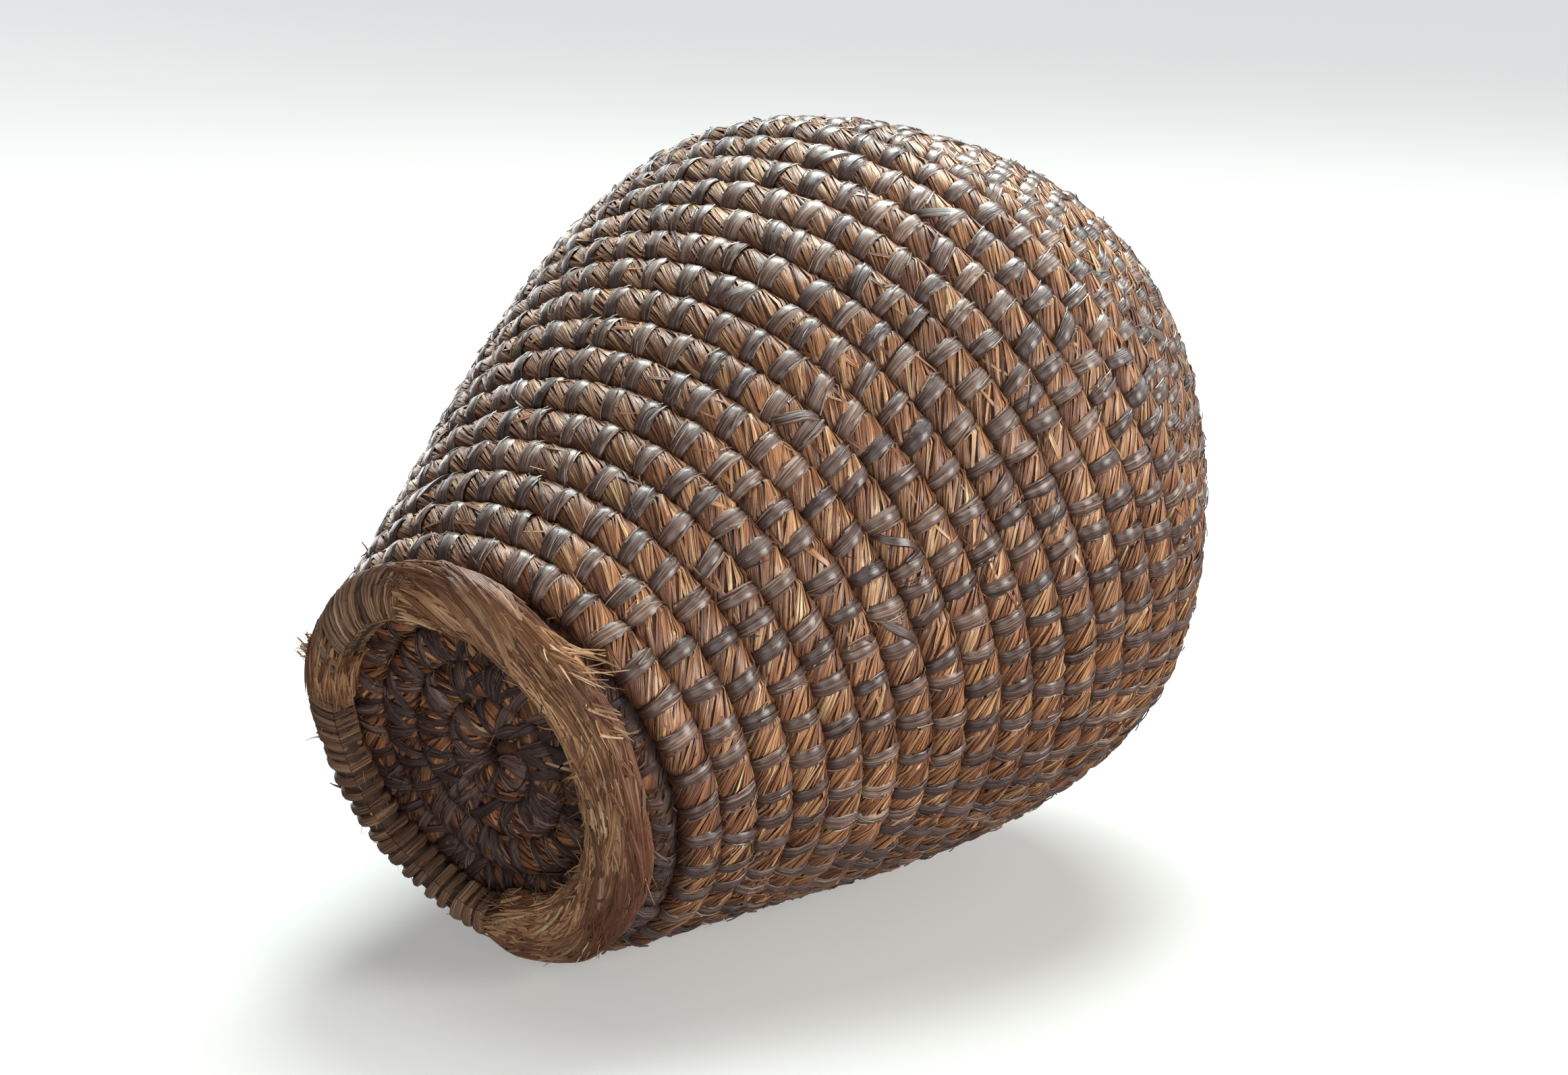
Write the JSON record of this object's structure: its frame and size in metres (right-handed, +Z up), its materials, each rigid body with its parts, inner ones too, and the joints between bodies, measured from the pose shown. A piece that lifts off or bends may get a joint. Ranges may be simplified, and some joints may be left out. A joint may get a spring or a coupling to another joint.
{
  "type": "coiled straw basket",
  "caption": "Egg-shaped basket of coiled straw with an open mouth, a recessed flat base and a separate foot ring partly bound in split strip.",
  "frame": {"origin": "centre of the bounding box in X and Y, at the plane the foot ring stands on", "axes": "+Z up the basket's axis, from the foot ring to the mouth; -Y towards the side where the foot ring is bare; the rows climb anticlockwise seen from above"},
  "size_m": [0.2772, 0.277, 0.3347],
  "materials": {
    "base_straw": "dirty, matt",
    "lower_wall_straw": "dry straw, satin",
    "belly_wall_straw": "dry straw, satin",
    "shoulder_wall_straw": "dry straw, satin",
    "rim_straw": "dry straw, satin",
    "ring_straw": "worn straw, matt",
    "broad_strip": "split strip, satin",
    "fine_strip": "split strip, satin"
  },
  "bodies": {
    "root": {"base_coil": "base_straw", "lower_wall_coil": "lower_wall_straw", "belly_wall_coil": "belly_wall_straw", "shoulder_wall_coil": "shoulder_wall_straw", "rim_coil": "rim_straw", "foot_ring_bundle": "ring_straw", "foot_ring_broad_binding": "broad_strip", "foot_ring_fine_binding": "fine_strip"}
  },
  "joints": []
}
